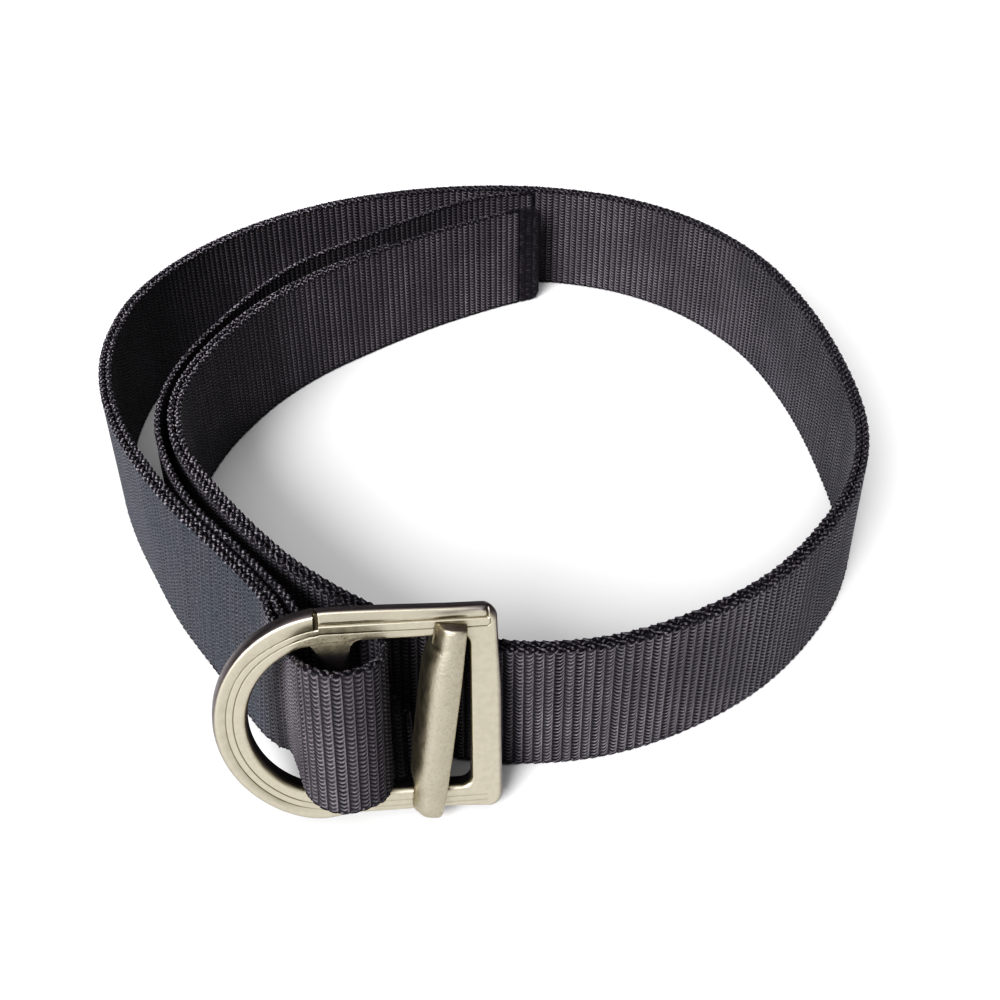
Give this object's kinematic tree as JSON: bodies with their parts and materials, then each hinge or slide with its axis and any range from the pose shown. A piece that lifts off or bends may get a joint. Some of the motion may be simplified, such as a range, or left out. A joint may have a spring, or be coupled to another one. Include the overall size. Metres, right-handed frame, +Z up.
{
  "type": "tactical belt",
  "caption": "Doubled webbing belt standing on its edge as a closed ring, with a D-shaped cast buckle, a sliding bar on its rails and a sealed tail end.",
  "frame": {"origin": "middle of the belt's box, on the surface that the belt stands on", "axes": "+Z up across the webbing, +Y from the buckle at the front to the back of the ring, +X to the right of someone who faces the buckle"},
  "size_m": [0.222, 0.2658, 0.0533],
  "materials": {
    "webbing": "ribbed nylon webbing, dark charcoal",
    "sealed_webbing": "heat-sealed black webbing end",
    "satin_cast": "satin champagne plating on a casting",
    "satin_slide": "grainy satin champagne plating on a casting"
  },
  "bodies": {
    "belt": {"outer_ply": "webbing", "inner_ply": "webbing", "loose_ply": "webbing", "tail_tip": "sealed_webbing", "buckle_frame": "satin_cast"},
    "slide_bar": {"slide_bar": "satin_slide"}
  },
  "joints": [
    {"name": "bar_slide", "type": "slide", "parent": "belt", "child": "slide_bar", "axis": [0.9942, 0.1045, -0.0234], "range_m": [-0.004, 0]}
  ]
}
